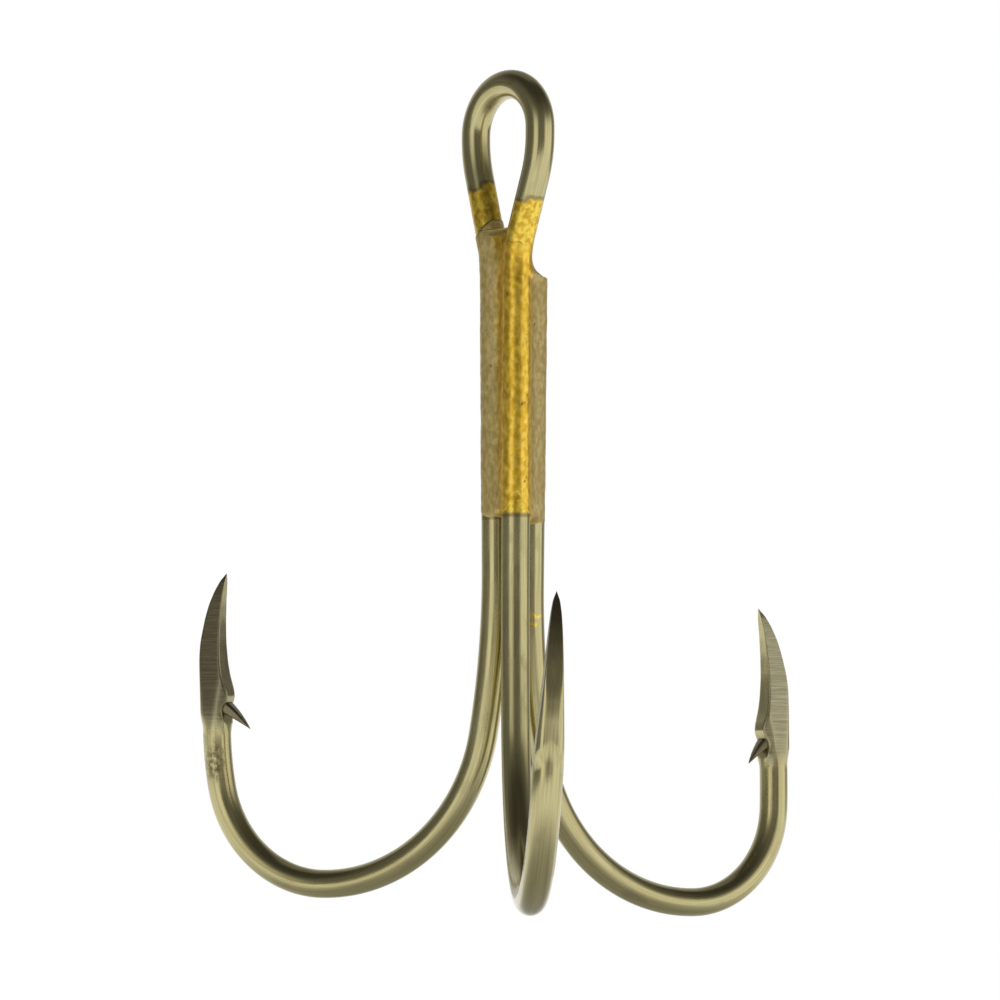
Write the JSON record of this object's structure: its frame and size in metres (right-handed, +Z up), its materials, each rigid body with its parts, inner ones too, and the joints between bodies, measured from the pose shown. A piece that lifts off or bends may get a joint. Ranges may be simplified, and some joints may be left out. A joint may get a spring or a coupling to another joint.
{
  "type": "treble fishing hook",
  "caption": "Brazed treble fishing hook with a looped eye, barbed ground points and a lacquered bronze finish.",
  "frame": {"origin": "centre of the eye's opening, on the wire loop's mid plane", "axes": "+Z up along the shanks towards the eye; the front hook's bend lies in the YZ plane and points towards -Y; +X to the right seen from the front"},
  "size_m": [0.0426, 0.0366, 0.0591],
  "materials": {
    "lacquered_wire": "glossy bronze lacquer over drawn steel wire",
    "braze_brass": "as-flowed braze with small pits"
  },
  "bodies": {
    "root": {"double_hook": "lacquered_wire", "single_hook": "lacquered_wire", "braze": "braze_brass"}
  },
  "joints": []
}
